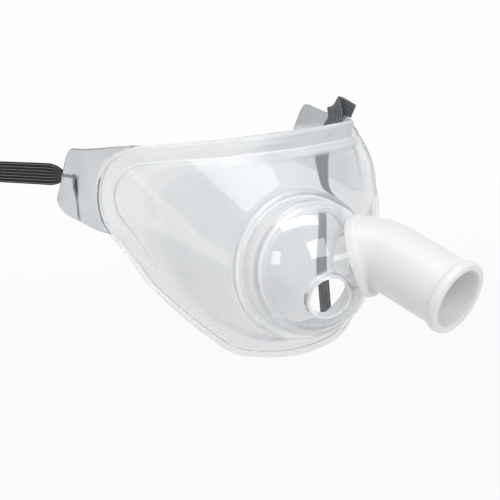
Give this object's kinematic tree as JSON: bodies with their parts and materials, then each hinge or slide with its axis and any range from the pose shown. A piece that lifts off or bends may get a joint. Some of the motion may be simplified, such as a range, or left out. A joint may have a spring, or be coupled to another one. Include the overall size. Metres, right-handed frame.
{
  "type": "tracheostomy mask",
  "caption": "Clear tracheostomy mask with a curved throat rim, winged sides, a swivel front cap with a suction port, an angled tube connector and an elastic neck band in two ends.",
  "frame": {"origin": "on the neck's front line, on the rim's inner side, at the height of the collar's centre, as the mask is worn", "axes": "+Z towards the head, -Y out of the front, square to the neck, +X to the right in the front view; the collar and its cap face 4.8 degrees to the +X side"},
  "size_m": [0.1179, 0.1782, 0.0766],
  "materials": {
    "clear_shell": "soft clear vinyl, glossy",
    "clear_cap": "hard clear plastic, glossy",
    "connector": "frosted translucent white",
    "elastic": "ribbed woven elastic, dark grey"
  },
  "bodies": {
    "mask": {"mask_shell": "clear_shell", "neck_strap_left": "elastic", "neck_strap_right": "elastic"},
    "swivel": {"swivel_cap": "clear_cap"},
    "elbow": {"elbow_connector": "connector"}
  },
  "joints": [
    {"name": "cap_swivel", "type": "hinge", "parent": "mask", "child": "swivel", "pos_m": [0, -0.018, 0], "axis": [0.0837, -0.9965, 0], "continuous": true},
    {"name": "elbow_swivel", "type": "hinge", "parent": "swivel", "child": "elbow", "pos_m": [0.01236, -0.03377, 0.00326], "axis": [0.7933, -0.5676, 0.2201], "continuous": true}
  ]
}
